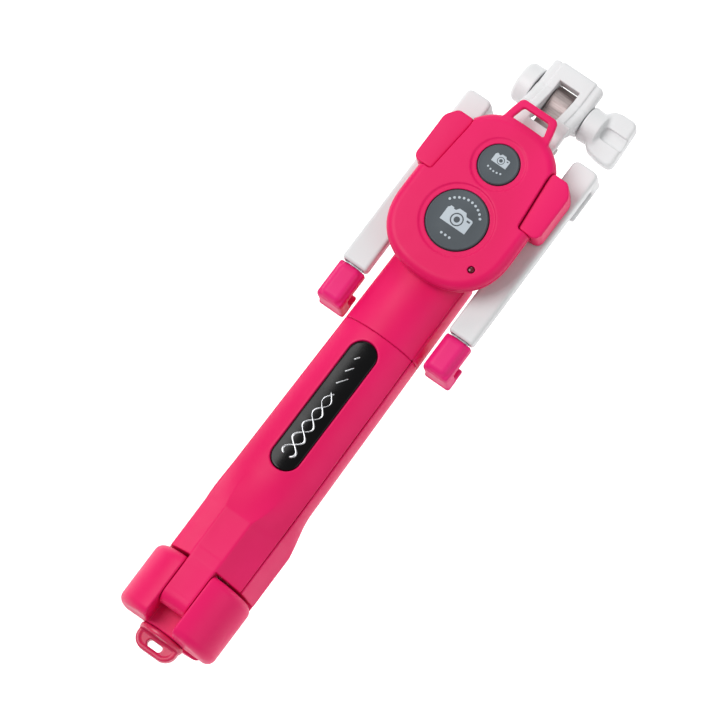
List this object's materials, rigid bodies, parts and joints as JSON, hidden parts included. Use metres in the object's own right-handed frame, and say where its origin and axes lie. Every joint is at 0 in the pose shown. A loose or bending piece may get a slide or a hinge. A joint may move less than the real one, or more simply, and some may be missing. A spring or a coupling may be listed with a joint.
{
  "type": "selfie stick",
  "caption": "Folded telescopic selfie stick whose three-part handle opens into a tripod, with a swivelling spring phone clamp and a clip-in push-button remote.",
  "frame": {"origin": "centre of the underside of the bounding box, with the folded stick lying on its back", "axes": "+Y along the pole from the lanyard tab to the swivel head, +Z to the front where the remote is, +X to the right"},
  "size_m": [0.043, 0.1924, 0.0329],
  "materials": {
    "pink_plastic": "smooth satin moulding, hot pink",
    "pink_rubber": "soft matt rubber, magenta pink",
    "white_plastic": "smooth satin moulding, off-white",
    "steel": "plain zinc-plated steel",
    "chrome_tube": "bright chrome-plated tube",
    "lug_metal": "dull brownish grey cast metal",
    "black_gloss": "glossy black with a silver mark",
    "grey_button": "matt slate grey with a light grey pictogram",
    "lens_red": "dark red translucent lens",
    "board_green": "solder-masked board"
  },
  "bodies": {
    "handle": {"hub": "pink_plastic", "base_cap": "pink_plastic", "leg_pin_front": "steel", "leg_pin_right": "steel", "leg_pin_left": "steel", "handle_sleeve": "pink_plastic", "pole_tube_1": "chrome_tube"},
    "leg_front": {"leg_front": "pink_plastic", "foot_front": "pink_rubber", "badge": "black_gloss"},
    "leg_right": {"leg_right": "pink_plastic", "foot_right": "pink_rubber"},
    "leg_left": {"leg_left": "pink_plastic", "foot_left": "pink_rubber"},
    "section_2": {"pole_tube_2": "chrome_tube"},
    "section_3": {"pole_tube_3": "chrome_tube"},
    "section_4": {"pole_tube_4": "chrome_tube"},
    "section_5": {"pole_tube_5": "chrome_tube"},
    "section_6": {"pole_tube_6": "chrome_tube", "pole_head": "lug_metal"},
    "clamp": {"swivel_fork": "white_plastic", "nut_cover": "white_plastic", "hex_nut": "steel", "jaw_frame": "white_plastic", "clip_right": "pink_plastic", "clip_left": "pink_plastic", "clip_screw_right": "steel", "clip_screw_left": "steel", "frame_screw_1": "steel", "frame_screw_2": "steel", "jaw_spring_right": "steel", "jaw_spring_left": "steel"},
    "knob": {"wing_knob": "white_plastic", "hinge_bolt": "steel"},
    "jaw_right": {"jaw_rod_right": "steel", "jaw_hook_right": "pink_rubber"},
    "jaw_left": {"jaw_rod_left": "steel", "jaw_hook_left": "pink_rubber"},
    "remote": {"remote_back": "pink_plastic", "remote_front": "pink_plastic", "coin_cell": "steel", "circuit_board": "board_green", "indicator_lens": "lens_red", "switch_large": "steel", "switch_small": "steel"},
    "large_button": {"button_large": "grey_button"},
    "small_button": {"button_small": "grey_button"}
  },
  "joints": [
    {"name": "leg_front_hinge", "type": "hinge", "parent": "handle", "child": "leg_front", "pos_m": [0, -0.08055, 0.0255], "axis": [1, 0, 0], "range_deg": [0, 115]},
    {"name": "leg_right_hinge", "type": "hinge", "parent": "handle", "child": "leg_right", "pos_m": [0.00866, -0.08055, 0.0105], "axis": [-0.5, 0, -0.866], "range_deg": [0, 115]},
    {"name": "leg_left_hinge", "type": "hinge", "parent": "handle", "child": "leg_left", "pos_m": [-0.00866, -0.08055, 0.0105], "axis": [-0.5, 0, 0.866], "range_deg": [0, 115]},
    {"name": "section_2_slide", "type": "slide", "parent": "handle", "child": "section_2", "axis": [0, 1, 0], "range_m": [0, 0.095]},
    {"name": "section_3_slide", "type": "slide", "parent": "section_2", "child": "section_3", "axis": [0, 1, 0], "range_m": [0, 0.095]},
    {"name": "section_4_slide", "type": "slide", "parent": "section_3", "child": "section_4", "axis": [0, 1, 0], "range_m": [0, 0.095]},
    {"name": "section_5_slide", "type": "slide", "parent": "section_4", "child": "section_5", "axis": [0, 1, 0], "range_m": [0, 0.095]},
    {"name": "section_6_slide", "type": "slide", "parent": "section_5", "child": "section_6", "axis": [0, 1, 0], "range_m": [0, 0.095]},
    {"name": "head_tilt", "type": "hinge", "parent": "section_6", "child": "clamp", "pos_m": [0, 0.08675, 0.0155], "axis": [-1, 0, 0], "range_deg": [0, 180]},
    {"name": "knob_turn", "type": "hinge", "parent": "clamp", "child": "knob", "pos_m": [0, 0.08675, 0.0155], "axis": [1, 0, 0], "continuous": true},
    {"name": "jaw_right_slide", "type": "slide", "parent": "clamp", "child": "jaw_right", "axis": [0, -1, 0], "range_m": [0, 0.03], "stiffness_N_per_m": 120, "springref_m": -0.01},
    {"name": "jaw_left_slide", "type": "slide", "parent": "clamp", "child": "jaw_left", "axis": [0, -1, 0], "range_m": [0, 0.03], "stiffness_N_per_m": 120, "springref_m": -0.01},
    {"name": "remote_slide", "type": "slide", "parent": "clamp", "child": "remote", "axis": [0, -1, 0], "range_m": [0, 0.05]},
    {"name": "large_button_press", "type": "slide", "parent": "remote", "child": "large_button", "axis": [0, 0, -1], "range_m": [0, 0.0005], "stiffness_N_per_m": 500, "springref_m": -0.0005},
    {"name": "small_button_press", "type": "slide", "parent": "remote", "child": "small_button", "axis": [0, 0, -1], "range_m": [0, 0.0005], "stiffness_N_per_m": 500, "springref_m": -0.0005}
  ]
}
